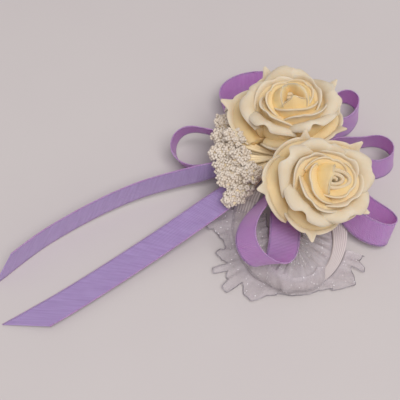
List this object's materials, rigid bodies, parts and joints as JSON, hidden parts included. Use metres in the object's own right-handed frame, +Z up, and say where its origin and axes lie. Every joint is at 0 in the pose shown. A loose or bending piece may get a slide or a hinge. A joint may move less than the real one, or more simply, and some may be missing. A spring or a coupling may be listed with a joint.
{
  "type": "wrist corsage",
  "caption": "Wrist corsage: foam roses, a bead-sprig spray and a looped satin bow with long tails on a stretchy elastic wristlet edged with sheer ruffles.",
  "frame": {"origin": "centre of the cover disc's underside, the flat face that lies on the wrist", "axes": "+Z up through the flowers away from the wrist, +X to the right with the ribbon tails leading to -X, the band loop lying towards -Y"},
  "size_m": [0.17, 0.127, 0.0501],
  "materials": {
    "foam": "soft matte foam",
    "foam_warm": "soft matte foam, warmer in the heart",
    "satin": "satin weave with a soft sheen",
    "organza": "sheer with a fine edge thread",
    "elastic": "ribbed knit",
    "felt": "pressed felt",
    "pips": "grainy beads",
    "tape": "floral tape",
    "wire": "wrapped wire"
  },
  "bodies": {
    "flowers": {"cover_disc": "felt", "felt_pad": "felt", "band_glued_section": "elastic", "bow_knot": "satin", "bow_loop_upper_left": "satin", "bow_loop_left": "satin", "bow_loop_upper_right": "satin", "bow_loop_right": "satin", "bow_loop_lower_right": "satin", "bow_loop_lower_centre": "satin", "tail_upper_root": "satin", "tail_lower_root": "satin", "rose_front_stem": "wire", "rose_front_lowest_petals": "foam", "rose_front_outer_petals": "foam", "rose_front_middle_petals": "foam", "rose_front_inner_petals": "foam_warm", "rose_front_bud": "foam_warm", "rose_rear_stem": "wire", "rose_rear_lowest_petals": "foam", "rose_rear_outer_petals": "foam", "rose_rear_middle_petals": "foam", "rose_rear_inner_petals": "foam_warm", "rose_rear_bud": "foam_warm", "spray_collar": "tape", "pip_sprig_1": "pips", "pip_sprig_2": "pips", "pip_sprig_3": "pips", "pip_sprig_4": "pips", "pip_sprig_5": "pips", "pip_sprig_6": "pips", "pip_sprig_7": "pips", "pip_sprig_8": "pips", "pip_sprig_9": "pips", "pip_sprig_10": "pips", "pip_sprig_11": "pips"},
    "band_loop": {"band_side_right": "elastic", "band_side_left": "elastic", "ruffle_outer_right": "organza", "ruffle_outer_left": "organza", "ruffle_inner_right": "organza", "ruffle_inner_left": "organza"},
    "band_end": {"band_front": "elastic", "ruffle_outer_front": "organza", "ruffle_inner_front": "organza"},
    "tail_upper": {"tail_upper_free": "satin"},
    "tail_lower": {"tail_lower_free": "satin"}
  },
  "joints": [
    {"name": "band_swing", "type": "hinge", "parent": "flowers", "child": "band_loop", "pos_m": [0, -0.007, 0.00195], "axis": [1, 0, 0], "range_deg": [0, 75]},
    {"name": "band_stretch", "type": "slide", "parent": "band_loop", "child": "band_end", "axis": [0, -1, 0], "range_m": [0, 0.025], "stiffness_N_per_m": 60},
    {"name": "tail_upper_swing", "type": "hinge", "parent": "flowers", "child": "tail_upper", "pos_m": [-0.04043, -0.00282, 0.00195], "axis": [0, 0, 1], "range_deg": [-30, 5]},
    {"name": "tail_lower_lift", "type": "hinge", "parent": "flowers", "child": "tail_lower", "pos_m": [-0.03496, -0.0195, -0.00035], "axis": [-0.5117, 0.8484, -0.1355], "range_deg": [0, 65]}
  ]
}
